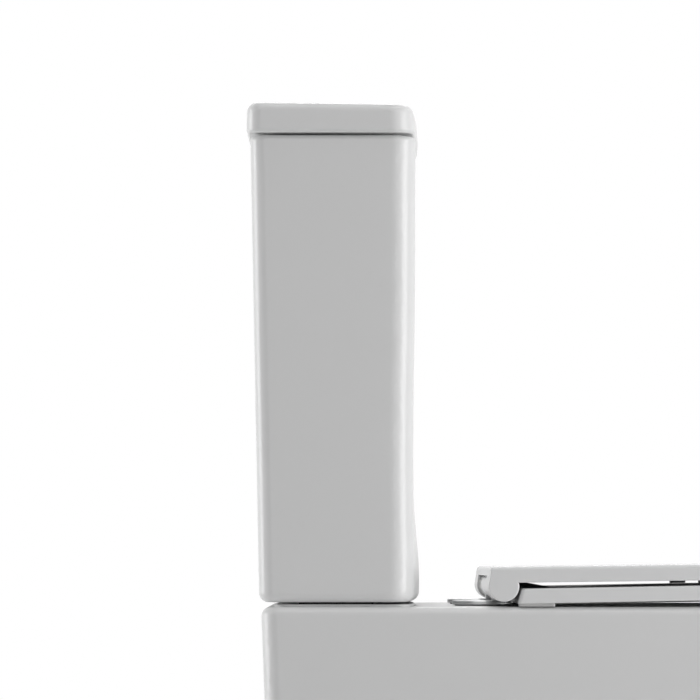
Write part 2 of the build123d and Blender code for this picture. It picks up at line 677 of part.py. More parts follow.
def mouth_outline(height, inset):
    """Plan of the tank's mouth, drawn in by an inset."""
    return soft_outline(
        height,
        TANK_BACK_TOP + TANK_WALL + inset,
        TANK_CORNER_FRONT_TOP + TANK_BOW - TANK_WALL - inset,
        TANK_WIDTH_TOP / 2 - TANK_WALL - inset,
        TANK_BACK_RADIUS,
        TANK_FRONT_RADIUS - TANK_WALL,
        TANK_BOW,
    )


def bezel_seat():
    """Height of the flat on the drooping lid that the button's bezel sits on."""
    droop = Vector(0, 1, 0).rotate(Axis.X, LID_DROOP_ANGLE)
    return LID_TOP - (VALVE_FROM_WALL + BEZEL_RADIUS) * droop.Z / droop.Y


def make_cistern_lid():
    slab = loft(
        [
            lid_outline(LID_BOTTOM, 0.0, 0.0, 0.0),
            lid_outline(LID_TOP, LID_BACK_DRAFT, LID_FRONT_DRAFT, LID_SIDE_DRAFT),
        ]
    )
    top_plane = Plane(origin=(0, y_at(0), LID_TOP), z_dir=(0, 0, 1)).rotated((LID_DROOP_ANGLE, 0, 0))
    slab = split(slab, bisect_by=top_plane, keep=Keep.BOTTOM)
    slab = fillet(slab.faces().sort_by(Axis.Z)[-1].edges(), LID_EDGE_RADIUS)
    slab = fillet(slab.faces().sort_by(Axis.Z)[0].edges(), LID_LOWER_EDGE_RADIUS)
    rib_bottom = LID_BOTTOM - LID_RIB_DEPTH
    pocket_inset = LID_RIB_CLEARANCE + LID_RIB_THICKNESS
    slab += extrude(mouth_outline(rib_bottom, LID_RIB_CLEARANCE), LID_RIB_DEPTH + LID_LOWER_EDGE_RADIUS)
    pocket_height = LID_HEIGHT - LID_TOP_THICKNESS + LID_RIB_DEPTH
    slab -= extrude(mouth_outline(rib_bottom, pocket_inset), pocket_height)
    seat = bezel_seat()
    slab -= disc(0, VALVE_FROM_WALL, seat, LID_TOP, BEZEL_RADIUS + BEZEL_HOLE_CLEARANCE)
    return slab - disc(0, VALVE_FROM_WALL, LID_BOTTOM, LID_TOP, SLEEVE_RADIUS + BEZEL_HOLE_CLEARANCE)


def make_lid_pads():
    """Soft pads on the tank's rim that leave the shadow gap under the lid."""
    back = TANK_BACK_TOP + TANK_WALL - LID_PAD_WIDTH
    front = TANK_CORNER_FRONT_TOP - TANK_WALL + TANK_BOW
    pads = []
    for side in SIDES:
        centre = side * LID_PAD_CENTRES / 2
        ends = (centre - LID_PAD_LENGTH / 2, centre + LID_PAD_LENGTH / 2)
        pads.append(block(*ends, back, back + LID_PAD_WIDTH, TANK_TOP, LID_BOTTOM))
        pads.append(block(*ends, front, front + LID_PAD_WIDTH, TANK_TOP, LID_BOTTOM))
    return Compound(pads)


def make_tank_pads():
    pads = []
    for side in SIDES:
        centre = side * TANK_PAD_CENTRES / 2
        ends = (centre - TANK_PAD_WIDTH / 2, centre + TANK_PAD_WIDTH / 2)
        near_wall = VALVE_FROM_WALL - TANK_PAD_LENGTH / 2
        pads.append(block(*ends, near_wall, near_wall + TANK_PAD_LENGTH, PLATFORM_TOP, TANK_BOTTOM))
    return Compound(pads)


def make_doughnut_seal():
    return tube(0, VALVE_FROM_WALL, DECK_UNDERSIDE, TANK_BOTTOM, DOUGHNUT_RADIUS, DOUGHNUT_INNER_RADIUS)


def coupling_pieces():
    """Bolts that draw the tank down on the pan, with their seals, washers and wing nuts."""
    seal_top = TANK_INSIDE_BOTTOM + COUPLING_SEAL_HEIGHT
    head_top = seal_top + COUPLING_HEAD_HEIGHT
    washer_bottom = DECK_UNDERSIDE - COUPLING_WASHER
    nut_bottom = washer_bottom - WING_NUT_HEIGHT
    bore = COUPLING_BOLT_RADIUS + THREAD_CLEARANCE
    bolts, seals, washers, nuts = [], [], [], []
    for side in SIDES:
        x = side * COUPLING_CENTRES / 2
        shank_bottom = DECK_UNDERSIDE - COUPLING_BOLT_BELOW_DECK
        shank = disc(x, VALVE_FROM_WALL, shank_bottom, seal_top, COUPLING_BOLT_RADIUS)
        bolts.append(shank + disc(x, VALVE_FROM_WALL, seal_top, head_top, COUPLING_HEAD_RADIUS))
        seals.append(tube(x, VALVE_FROM_WALL, TANK_INSIDE_BOTTOM, seal_top, COUPLING_SEAL_RADIUS, bore))
        washers.append(tube(x, VALVE_FROM_WALL, washer_bottom, DECK_UNDERSIDE, COUPLING_WASHER_RADIUS, bore))
        nut = disc(x, VALVE_FROM_WALL, nut_bottom, washer_bottom, WING_NUT_RADIUS)
        near_wall = VALVE_FROM_WALL - WING_SPAN / 2
        half_wing = WING_THICKNESS / 2
        far_wall = near_wall + WING_SPAN
        nut += block(x - half_wing, x + half_wing, near_wall, far_wall, nut_bottom, washer_bottom)
        nuts.append(nut - disc(x, VALVE_FROM_WALL, nut_bottom, washer_bottom, bore))
    return Compound(bolts), Compound(seals), Compound(washers), Compound(nuts)


def make_flush_valve_base():
    flange_bottom = TANK_INSIDE_BOTTOM + BASE_GASKET
    tail_bottom = TANK_BOTTOM - TAIL_BELOW_TANK
    body = disc(0, VALVE_FROM_WALL, flange_bottom, BASE_SEAT, BASE_FLANGE_RADIUS)
    body += disc(0, VALVE_FROM_WALL, tail_bottom, flange_bottom, TAIL_RADIUS)
    return body - disc(0, VALVE_FROM_WALL, tail_bottom, BASE_SEAT, TAIL_BORE_RADIUS)


def make_flush_valve_gasket():
    top = TANK_INSIDE_BOTTOM + BASE_GASKET
    bore = TAIL_RADIUS + THREAD_CLEARANCE
    return tube(0, VALVE_FROM_WALL, TANK_INSIDE_BOTTOM, top, BASE_GASKET_RADIUS, bore)


def make_flush_valve_back_nut():
    bottom = TANK_BOTTOM - BACK_NUT_HEIGHT
    nut = hexagon(0, VALVE_FROM_WALL, bottom, TANK_BOTTOM, BACK_NUT_RADIUS)
    return nut - disc(0, VALVE_FROM_WALL, bottom, TANK_BOTTOM, TAIL_RADIUS + THREAD_CLEARANCE)


def make_flush_valve_housing():
    inner = HOUSING_RADIUS - HOUSING_WALL
    body = tube(0, VALVE_FROM_WALL, BASE_SEAT, HOUSING_TOP, HOUSING_RADIUS, inner)
    sill = BASE_SEAT + WINDOW_SILL
    half = WINDOW_WIDTH / 2
    behind = VALVE_FROM_WALL - HOUSING_RADIUS
    ahead = VALVE_FROM_WALL + HOUSING_RADIUS
    body -= block(-half, half, behind, ahead, sill, sill + WINDOW_HEIGHT)
    near_wall = VALVE_FROM_WALL - half
    far_wall = VALVE_FROM_WALL + half
    return body - block(-HOUSING_RADIUS, HOUSING_RADIUS, near_wall, far_wall, sill, sill + WINDOW_HEIGHT)


def rocker_line():
    """Distance from the wall to the middle of the rocker, which passes ahead of the overflow tube."""
    return VALVE_FROM_WALL + TUBE_RADIUS + ROCKER_TUBE_CLEARANCE + ROCKER_WIDTH / 2


def rod_place(side):
    """Place of a push rod: the full flush rod stands ahead of the axis, the half flush rod behind."""
    return side * ROD_OFFSET, VALVE_FROM_WALL + side * ROD_OFFSET


def make_flush_valve_cap():
    cap = disc(0, VALVE_FROM_WALL, HOUSING_TOP, CAP_TOP, HOUSING_RADIUS)
    cap -= disc(0, VALVE_FROM_WALL, HOUSING_TOP, CAP_TOP, TUBE_RADIUS + TUBE_GUIDE_CLEARANCE)
    cap -= disc(*rod_place(-1), HOUSING_TOP, CAP_TOP, ROD_RADIUS + ROD_GUIDE_CLEARANCE)
    near_wall = rocker_line() + ROCKER_WIDTH / 2 + ROCKER_SIDE_CLEARANCE
    far_wall = near_wall + ROCKER_BRACKET_THICKNESS
    half = ROCKER_BRACKET_WIDTH / 2
    bracket = block(-half, half, near_wall, far_wall, CAP_TOP, ROCKER_HEIGHT + half)
    return cap + bracket - bar_along_y(0, near_wall, far_wall, ROCKER_HEIGHT, ROCKER_PIN_RADIUS)


def make_rocker_pin():
    near_wall = rocker_line() - ROCKER_WIDTH / 2
    far_wall = rocker_line() + ROCKER_WIDTH / 2 + ROCKER_SIDE_CLEARANCE + ROCKER_BRACKET_THICKNESS
    return bar_along_y(0, near_wall, far_wall, ROCKER_HEIGHT, ROCKER_PIN_RADIUS)


def make_flush_rocker():
    near_wall = rocker_line() - ROCKER_WIDTH / 2
    far_wall = near_wall + ROCKER_WIDTH
    half = ROCKER_THICKNESS / 2
    bar = block(-ROCKER_REACH, ROCKER_REACH, near_wall, far_wall, ROCKER_HEIGHT - half, ROCKER_HEIGHT + half)
    bore = ROCKER_PIN_RADIUS + RUNNING_CLEARANCE
    bar += bar_along_y(0, near_wall, far_wall, ROCKER_HEIGHT, 2 * ROCKER_PIN_RADIUS)
    return bar - bar_along_y(0, near_wall, far_wall, ROCKER_HEIGHT, bore)


def make_overflow_tube():
    bottom = BASE_SEAT + FLUSH_SEAL_THICKNESS
    top = LUG_BOTTOM + LUG_THICKNESS + TUBE_ABOVE_LUG
    bore = TUBE_RADIUS - TUBE_WALL
    body = disc(0, VALVE_FROM_WALL, bottom, top, TUBE_RADIUS)
    body += disc(0, VALVE_FROM_WALL, bottom, bottom + CARRIER_THICKNESS, CARRIER_RADIUS)
    far_wall = rocker_line() + ROCKER_WIDTH / 2
    lug_top = LUG_BOTTOM + LUG_THICKNESS
    body += block(-ROCKER_REACH, -TUBE_RADIUS / 2, VALVE_FROM_WALL, far_wall, LUG_BOTTOM, lug_top)
    return body - disc(0, VALVE_FROM_WALL, bottom, top, bore)


def make_flush_seal():
    top = BASE_SEAT + FLUSH_SEAL_THICKNESS
    return tube(0, VALVE_FROM_WALL, BASE_SEAT, top, FLUSH_SEAL_RADIUS, TUBE_RADIUS - TUBE_WALL)


def bezel_top():
    return bezel_seat() + BEZEL_FLANGE


def make_button_bezel():
    seat = bezel_seat()
    bottom = seat - BEZEL_DEPTH
    body = disc(0, VALVE_FROM_WALL, seat, bezel_top(), BEZEL_RADIUS)
    body = fillet(body.edges().group_by(Axis.Z)[-1], BEZEL_EDGE_RADIUS)
    body += disc(0, VALVE_FROM_WALL, bottom, seat, SLEEVE_RADIUS)
    body -= disc(0, VALVE_FROM_WALL, bottom + BEZEL_FLOOR, bezel_top(), BORE_RADIUS)
    for side in SIDES:
        body -= disc(*rod_place(side), bottom, bottom + BEZEL_FLOOR, ROD_RADIUS + ROD_GUIDE_CLEARANCE)
    return body


def make_button_nut():
    top = LID_BOTTOM + LID_HEIGHT - LID_TOP_THICKNESS
    bottom = top - BUTTON_NUT_HEIGHT
    nut = hexagon(0, VALVE_FROM_WALL, bottom, top, BUTTON_NUT_RADIUS)
    return nut - disc(0, VALVE_FROM_WALL, bottom, top, SLEEVE_RADIUS + THREAD_CLEARANCE)


def button_levels():
    top = bezel_top() - BUTTON_BELOW_BEZEL
    return top - BUTTON_THICKNESS, top


def make_button(side):
    """One share of the round push plate: the full flush is the larger, on the +X side."""
    low, high = button_levels()
    plate = disc(0, VALVE_FROM_WALL, low, high, BUTTON_RADIUS)
    edge = BUTTON_SPLIT + side * BUTTON_SPLIT_GAP / 2
    ends = sorted((edge, -side * 2 * BUTTON_RADIUS))
    behind = VALVE_FROM_WALL - BUTTON_RADIUS
    plate -= block(*ends, behind, behind + 2 * BUTTON_RADIUS, low, high)
    return fillet(plate.edges().group_by(Axis.Z)[-1], BUTTON_EDGE_RADIUS)


def make_full_flush_rod():
    tip = ROCKER_TOP + ROCKER_ROD_GAP
    x, from_wall = rod_place(1)
    rod = disc(x, from_wall, tip + ROD_RADIUS, button_levels()[0], ROD_RADIUS)
    return rod + Pos(x, y_at(from_wall), tip + ROD_RADIUS) * Sphere(ROD_RADIUS)


def half_float_top():
    return HOUSING_TOP - HALF_FLOAT_DROP


def make_half_flush_rod():
    return disc(*rod_place(-1), half_float_top(), button_levels()[0], ROD_RADIUS)


def make_half_flush_float():
    bottom = half_float_top() - HALF_FLOAT_HEIGHT
    return disc(*rod_place(-1), bottom, half_float_top(), HALF_FLOAT_RADIUS)


def make_spring(side):
    """Return spring round a push rod, between the bezel's floor and the button."""
    x, from_wall = rod_place(side)
    floor = bezel_seat() - BEZEL_DEPTH + BEZEL_FLOOR
    margin = SPRING_WIRE_RADIUS + SPRING_END_GAP
    height = button_levels()[0] - floor - 2 * margin
    coil = Helix(pitch=height / SPRING_TURNS, height=height, radius=SPRING_RADIUS)
    wire = sweep(Plane(origin=coil @ 0, z_dir=coil % 0) * Circle(SPRING_WIRE_RADIUS), path=coil)
    return Pos(x, y_at(from_wall), floor + margin) * wire


def make_fill_valve_body():
    shank_bottom = TANK_BOTTOM - FILL_NUT_HEIGHT
    stop_bottom = FILL_RISER_BOTTOM + FLOAT_STOP_ABOVE_FLANGE
    body = disc(FILL_X, VALVE_FROM_WALL, FILL_SEAT, FILL_RISER_BOTTOM, FILL_FLANGE_RADIUS)
    body += disc(FILL_X, VALVE_FROM_WALL, shank_bottom, FILL_SEAT, FILL_SHANK_RADIUS)
    body += disc(FILL_X, VALVE_FROM_WALL, shank_bottom - FILL_THREAD_LENGTH, shank_bottom, FILL_THREAD_RADIUS)
    body += disc(FILL_X, VALVE_FROM_WALL, FILL_RISER_BOTTOM, FILL_HEAD_BOTTOM, FILL_RISER_RADIUS)
    stop_top = stop_bottom + FLOAT_STOP_HEIGHT
    return body + disc(FILL_X, VALVE_FROM_WALL, stop_bottom, stop_top, FLOAT_STOP_RADIUS)


def make_fill_valve_gasket():
    bore = FILL_SHANK_RADIUS + THREAD_CLEARANCE
    return tube(FILL_X, VALVE_FROM_WALL, TANK_INSIDE_BOTTOM, FILL_SEAT, FILL_FLANGE_RADIUS, bore)


def make_fill_valve_back_nut():
    bottom = TANK_BOTTOM - FILL_NUT_HEIGHT
    nut = hexagon(FILL_X, VALVE_FROM_WALL, bottom, TANK_BOTTOM, FILL_NUT_RADIUS)
    return nut - disc(FILL_X, VALVE_FROM_WALL, bottom, TANK_BOTTOM, FILL_SHANK_RADIUS + THREAD_CLEARANCE)


def lever_half_span():
    return LEVER_WIDTH / 2 + LEVER_SIDE_CLEARANCE + LEVER_EAR_THICKNESS


def make_fill_valve_head():
    body = disc(FILL_X, VALVE_FROM_WALL, FILL_HEAD_BOTTOM, FILL_HEAD_TOP, FILL_HEAD_RADIUS)
    half_length = LEVER_EAR_LENGTH / 2
    ends = (LEVER_PIVOT_X - half_length, LEVER_PIVOT_X + half_length)
    span = lever_half_span()
    gap = span - LEVER_EAR_THICKNESS
    top = LEVER_HEIGHT + LEVER_EAR_TOP
    body += block(*ends, VALVE_FROM_WALL - span, VALVE_FROM_WALL - gap, FILL_HEAD_TOP, top)
    body += block(*ends, VALVE_FROM_WALL + gap, VALVE_FROM_WALL + span, FILL_HEAD_TOP, top)
    near_wall = VALVE_FROM_WALL - span
    return body - bar_along_y(LEVER_PIVOT_X, near_wall, near_wall + 2 * span, LEVER_HEIGHT, LEVER_PIN_RADIUS)


def make_fill_lever_pin():
    near_wall = VALVE_FROM_WALL - lever_half_span()
    far_wall = VALVE_FROM_WALL + lever_half_span()
    return bar_along_y(LEVER_PIVOT_X, near_wall, far_wall, LEVER_HEIGHT, LEVER_PIN_RADIUS)


def make_fill_lever():
    half = LEVER_THICKNESS / 2
    low, high = LEVER_HEIGHT - half, LEVER_HEIGHT + half
    near_wall = VALVE_FROM_WALL - LEVER_WIDTH / 2
    far_wall = VALVE_FROM_WALL + LEVER_WIDTH / 2
    tip = FLOAT_ROD_X + LEVER_TIP
    lever = block(LEVER_PIVOT_X - LEVER_TAIL, tip, near_wall, far_wall, low, high)
    half_slot = LEVER_SLOT_WIDTH / 2
    slot_back = FLOAT_ROD_X - LEVER_SLOT_BACK
    lever -= block(slot_back, tip, VALVE_FROM_WALL - half_slot, VALVE_FROM_WALL + half_slot, low, high)
    bore = LEVER_PIN_RADIUS + RUNNING_CLEARANCE
    return lever - bar_along_y(LEVER_PIVOT_X, near_wall, far_wall, LEVER_HEIGHT, bore)


def make_fill_float():
    top = FLOAT_BOTTOM + FLOAT_HEIGHT
    bore = FILL_RISER_RADIUS + FLOAT_BORE_CLEARANCE
    cup = disc(FILL_X, VALVE_FROM_WALL, FLOAT_BOTTOM, top, FLOAT_RADIUS)
    half_ear = FLOAT_EAR_WIDTH / 2
    near_wall = VALVE_FROM_WALL - half_ear
    ear_end = FLOAT_ROD_X + half_ear
    cup += block(FILL_X, ear_end, near_wall, near_wall + FLOAT_EAR_WIDTH, top - FLOAT_EAR_HEIGHT, top)
    return cup - disc(FILL_X, VALVE_FROM_WALL, FLOAT_BOTTOM, top, bore)


def make_float_rod():
    bottom = FLOAT_BOTTOM + FLOAT_HEIGHT
    collar_top = LEVER_HEIGHT - LEVER_THICKNESS / 2 - FLOAT_COLLAR_GAP
    rod = disc(FLOAT_ROD_X, VALVE_FROM_WALL, bottom, LEVER_HEIGHT + FLOAT_ROD_TOP, FLOAT_ROD_RADIUS)
    collar_bottom = collar_top - FLOAT_COLLAR_HEIGHT
    return rod + disc(FLOAT_ROD_X, VALVE_FROM_WALL, collar_bottom, collar_top, FLOAT_COLLAR_RADIUS)


def hinge_pieces():
    """Plates, gaskets, posts and pins of the two seat hinges."""
    gasket_top = PAN_HEIGHT + HINGE_GASKET_THICKNESS
    head_bottom = HINGE_PLATE_TOP - SEAT_BOLT_HEAD
    plates, gaskets, posts, pins = [], [], [], []
    for side in SIDES:
        x = side * HINGE_CENTRES / 2
        plate = disc(x, SEAT_BOLT_FROM_WALL, gasket_top, HINGE_PLATE_TOP, HINGE_PLATE_RADIUS)
        plate = fillet(plate.edges(), HINGE_PLATE_EDGE_RADIUS)
        front = HINGE_FROM_WALL + RING_BACK_BOTTOM - HINGE_PLATE_FRONT_GAP
        reach = front + HINGE_PLATE_RADIUS
        sides = (x - HINGE_PLATE_RADIUS, x + HINGE_PLATE_RADIUS)
        plate -= block(*sides, front, reach, gasket_top, HINGE_PLATE_TOP)
        bolt_bore = SEAT_BOLT_RADIUS + THREAD_CLEARANCE
        plate -= disc(x, SEAT_BOLT_FROM_WALL, gasket_top, HINGE_PLATE_TOP, bolt_bore)
        head_bore = SEAT_BOLT_HEAD_RADIUS + THREAD_CLEARANCE
        plate -= disc(x, SEAT_BOLT_FROM_WALL, head_bottom, HINGE_PLATE_TOP, head_bore)
        plates.append(plate)
        gasket_radius = HINGE_PLATE_RADIUS - HINGE_GASKET_INSET
        gaskets.append(tube(x, SEAT_BOLT_FROM_WALL, PAN_HEIGHT, gasket_top, gasket_radius, bolt_bore))
        half = HINGE_POST_WIDTH / 2
        behind = HINGE_FROM_WALL - HINGE_POST_BACK
        ahead = HINGE_FROM_WALL + HINGE_POST_RADIUS
        post = block(x - half, x + half, behind, ahead, HINGE_PLATE_TOP, HINGE_HEIGHT)
        post += bar_along_x(x - half, x + half, HINGE_FROM_WALL, HINGE_HEIGHT, HINGE_POST_RADIUS)
        posts.append(post - bar_along_x(x - half, x + half, HINGE_FROM_WALL, HINGE_HEIGHT, HINGE_PIN_RADIUS))
        ends = sorted((side * (HUB_END - HINGE_PIN_INNER), side * (BARREL_START + HINGE_PIN_OUTER)))
        pins.append(bar_along_x(*ends, HINGE_FROM_WALL, HINGE_HEIGHT, HINGE_PIN_RADIUS))
    return Compound(plates), Compound(gaskets), Compound(posts), Compound(pins)


def seat_fixing_pieces():
    """Bolts that hold the hinge plates down, with the washers and nuts under the deck."""
    washer_bottom = DECK_UNDERSIDE - SEAT_WASHER
    nut_bottom = washer_bottom - SEAT_NUT_HEIGHT
    head_bottom = HINGE_PLATE_TOP - SEAT_BOLT_HEAD
    bore = SEAT_BOLT_RADIUS + THREAD_CLEARANCE
    bolts, washers, nuts = [], [], []
    for side in SIDES:
        x = side * HINGE_CENTRES / 2
        shank_bottom = DECK_UNDERSIDE - SEAT_BOLT_BELOW_DECK
        shank = disc(x, SEAT_BOLT_FROM_WALL, shank_bottom, head_bottom, SEAT_BOLT_RADIUS)
        head = disc(x, SEAT_BOLT_FROM_WALL, head_bottom, HINGE_PLATE_TOP, SEAT_BOLT_HEAD_RADIUS)
        bolts.append(shank + head)
        washers.append(tube(x, SEAT_BOLT_FROM_WALL, washer_bottom, DECK_UNDERSIDE, SEAT_WASHER_RADIUS, bore))
        nut = hexagon(x, SEAT_BOLT_FROM_WALL, nut_bottom, washer_bottom, SEAT_NUT_RADIUS)
        nuts.append(nut - disc(x, SEAT_BOLT_FROM_WALL, nut_bottom, washer_bottom, bore))
    return Compound(bolts), Compound(washers), Compound(nuts)


def pivot_bore(x_low, x_high):
    profile = Circle(HINGE_PIN_RADIUS + RUNNING_CLEARANCE)
    return seat_extrusion(profile, x_low, x_high)


def level_cover():
    """Cover modelled level about the hinge axis: a thin plate with a rolled barrel at each end."""
    back = -COVER_BARREL_RADIUS
    cover = seat_slab(COVER_UNDERSIDE, COVER_THICKNESS, back)
    heel = seat_profile((back, 0), (0, 0), (0, COVER_TOP), (back, COVER_TOP))
    cover += seat_extrusion(heel + Circle(COVER_BARREL_RADIUS), -SEAT_HALF_WIDTH, SEAT_HALF_WIDTH)
    lean = seat_profile((2 * back, 0), (back, 0), (back + COVER_HEEL_LEAN, COVER_TOP), (2 * back, COVER_TOP))
    cover -= seat_extrusion(lean, -SEAT_HALF_WIDTH, SEAT_HALF_WIDTH)
    cover = fillet(cover.edges().group_by(Axis.Z)[-1], COVER_EDGE_RADIUS)
    ends = cover.faces().filter_by(Axis.X)
    rise = COVER_UNDERSIDE + COVER_EDGE_RADIUS
    side_edges = [edge for face in ends for edge in face.edges()]
    lower = [edge for edge in side_edges if edge.center().Z < rise or edge.center().Y > 0]
    cover = fillet(lower, COVER_LOWER_EDGE_RADIUS)
    notch = seat_profile((2 * back, 2 * back), (-back, 2 * back), (-back, HUB_ROOF), (2 * back, HUB_ROOF))
    cover -= seat_extrusion(notch, -BARREL_START, BARREL_START)
    for side in SIDES:
        bore_end = BARREL_START + HINGE_PIN_OUTER + HINGE_SIDE_GAP
        cover -= pivot_bore(*sorted((side * BARREL_START, side * bore_end)))
    return cover


def around_hole(margin, top):
    """Prism on the outline of the ring's hole, widened by the margin, from the foot of its lip up."""
    outline = soft_outline(
        RING_LIP_BOTTOM,
        RING_HOLE_BACK - margin,
        RING_HOLE_FRONT + margin,
        RING_HOLE_HALF_WIDTH + margin,
        RING_HOLE_HALF_WIDTH - RING_HOLE_BACK_FLAT + margin,
        RING_HOLE_HALF_WIDTH - RING_HOLE_FRONT_FLAT + margin,
        RING_HOLE_BOW,
    )
    return Pos(0, -y_at(0), 0) * extrude(outline, top - RING_LIP_BOTTOM)


def level_ring():
    """Ring modelled level about the hinge axis, with the hub that turns on the hinge pins."""
    body = seat_slab(RING_BOTTOM, RING_THICKNESS, RING_BACK_BOTTOM)
    slope = seat_profile(
        (0, RING_BOTTOM), (RING_BACK_BOTTOM, RING_BOTTOM), (RING_BACK_TOP, RING_TOP), (0, RING_TOP)
    )
    body -= seat_extrusion(slope, -SEAT_HALF_WIDTH, SEAT_HALF_WIDTH)
    rear = body.faces().sort_by(Axis.Y)[-1]
    corners = rear.edges().filter_by(lambda edge: abs(edge.center().X) > RING_HOLE_HALF_WIDTH)
    body = fillet(corners, RING_CORNER_RADIUS)
    body = fillet(body.edges().group_by(Axis.Z)[-1], RING_EDGE_RADIUS)
    body = fillet(body.edges().group_by(Axis.Z)[0], RING_LOWER_EDGE_RADIUS)
    body += around_hole(RING_LIP_WIDTH, RING_BOTTOM)
    body -= around_hole(0, RING_TOP)
    top_edges = body.edges().group_by(Axis.Z)[-1]
    reach = RING_HOLE_HALF_WIDTH + RING_EDGE_RADIUS
    hole_edges = [edge for edge in top_edges if abs(edge.center().X) < reach]
    hole_back = -RING_HOLE_BACK + RING_EDGE_RADIUS
    hole_front = -RING_HOLE_FRONT - RING_EDGE_RADIUS
    hole_edges = [edge for edge in hole_edges if hole_front < edge.center().Y < hole_back]
    body = fillet(hole_edges, RING_HOLE_EDGE_RADIUS)
    foot = RING_BOTTOM + WEB_DEPTH
    web = seat_profile(
        (0, -HUB_RADIUS),
        (RING_BACK_TOP, foot),
        (WEB_FOOT, foot),
        (WEB_FOOT, RING_TOP),
        (WEB_CREST, WEB_TOP),
        (0, WEB_TOP),
    )
    body += seat_extrusion(web + Circle(HUB_RADIUS), -HUB_END, HUB_END)
    for side in SIDES:
        bore_end = HUB_END - HINGE_PIN_INNER - HINGE_SIDE_GAP
        body -= pivot_bore(*sorted((side * bore_end, side * HUB_END)))
    return body


def make_hinge_dampers():
    dampers = []
    for side in SIDES:
        ends = sorted((side * (BARREL_START - DAMPER_LENGTH), side * BARREL_START))
        damper = seat_extrusion(Circle(DAMPER_RADIUS), *ends) - pivot_bore(*ends)
        dampers.append(on_hinge(damper, COVER_TILT))
    return Compound(dampers)


def make_seat_bumpers(ring):
    """Soft feet under the ring, cut level just above the pan's rim."""
    bumpers = []
    bottom = PAN_HEIGHT + BUMPER_GAP
    front = SEAT_FRONT - BUMPER_FRONT_SETBACK
    for ahead, inset in ((BUMPER_BACK, BUMPER_SIDE_INSET), (front, BUMPER_FRONT_SIDE_INSET)):
        for side in SIDES:
            outer = SEAT_HALF_WIDTH - inset
            ends = sorted((side * outer, side * (outer - BUMPER_WIDTH)))
            near_wall = HINGE_FROM_WALL + ahead
            foot = block(*ends, near_wall, near_wall + BUMPER_LENGTH, bottom, HINGE_HEIGHT + RING_TOP)
            foot = fillet(foot.edges().filter_by(Axis.Z), BUMPER_EDGE_RADIUS) - ring
            bumpers.append(foot.solids().sort_by(Axis.Z)[0])
    return Compound(bumpers)


def make_cover_bumpers(ring):
    """Soft buttons under the cover, cut just above the top of the ring."""
    bumpers = []
    lifted_ring = Pos(0, 0, BUMPER_GAP) * ring
    height = COVER_UNDERSIDE - RING_BOTTOM
    for ahead in (COVER_BUMPER_BACK, SEAT_FRONT - COVER_BUMPER_FRONT_SETBACK):
        for side in SIDES:
            x = side * (SEAT_HALF_WIDTH - COVER_BUMPER_SIDE_INSET)
            button = Pos(x, -ahead, RING_BOTTOM + height / 2) * Cylinder(COVER_BUMPER_RADIUS, height)
            button = on_hinge(button, COVER_TILT) - lifted_ring
            bumpers.append(button.solids().sort_by(Axis.Z)[-1])
    return Compound(bumpers)


def floor_fixing_pieces():
    """Angle brackets inside the skirt, with the side screws and their caps."""
    recess_floor = BASE_HALF_WIDTH - SIDE_RECESS_DEPTH
    bracket_face = BASE_HALF_WIDTH - PAN_WALL - BRACKET_WALL_GAP
    near_wall = BRACKET_FROM_WALL - BRACKET_LENGTH / 2
    far_wall = BRACKET_FROM_WALL + BRACKET_LENGTH / 2
    brackets, screws, caps = [], [], []
    for side in SIDES:
        upright = sorted((side * bracket_face, side * (bracket_face - BRACKET_THICKNESS)))
        foot = sorted((side * bracket_face, side * (bracket_face - BRACKET_FOOT)))
        bracket = block(*upright, near_wall, far_wall, 0, BRACKET_HEIGHT)
        bracket += block(*foot, near_wall, far_wall, 0, BRACKET_THICKNESS)
        hole_x = side * (bracket_face - BRACKET_FOOT + BRACKET_HOLE_INSET)
        bracket -= disc(hole_x, BRACKET_FROM_WALL, 0, BRACKET_THICKNESS, BRACKET_HOLE_RADIUS)
        bracket -= bar_along_x(*upright, BRACKET_FROM_WALL, SIDE_SCREW_HEIGHT, SIDE_SCREW_RADIUS)
        brackets.append(bracket)
        tip = bracket_face - BRACKET_THICKNESS - SIDE_SCREW_PAST_BRACKET
        head_outer = recess_floor + SIDE_SCREW_HEAD
        shank = sorted((side * tip, side * recess_floor))
        head = sorted((side * recess_floor, side * head_outer))
        screw = bar_along_x(*shank, BRACKET_FROM_WALL, SIDE_SCREW_HEIGHT, SIDE_SCREW_RADIUS)
        screw += bar_along_x(*head, BRACKET_FROM_WALL, SIDE_SCREW_HEIGHT, SIDE_SCREW_HEAD_RADIUS)
        screws.append(screw)
        cap = sorted((side * head_outer, side * BASE_HALF_WIDTH))
        cap_radius = SIDE_RECESS_RADIUS - SIDE_CAP_CLEARANCE
        caps.append(bar_along_x(*cap, BRACKET_FROM_WALL, SIDE_SCREW_HEIGHT, cap_radius))
    return Compound(brackets), Compound(screws), Compound(caps)


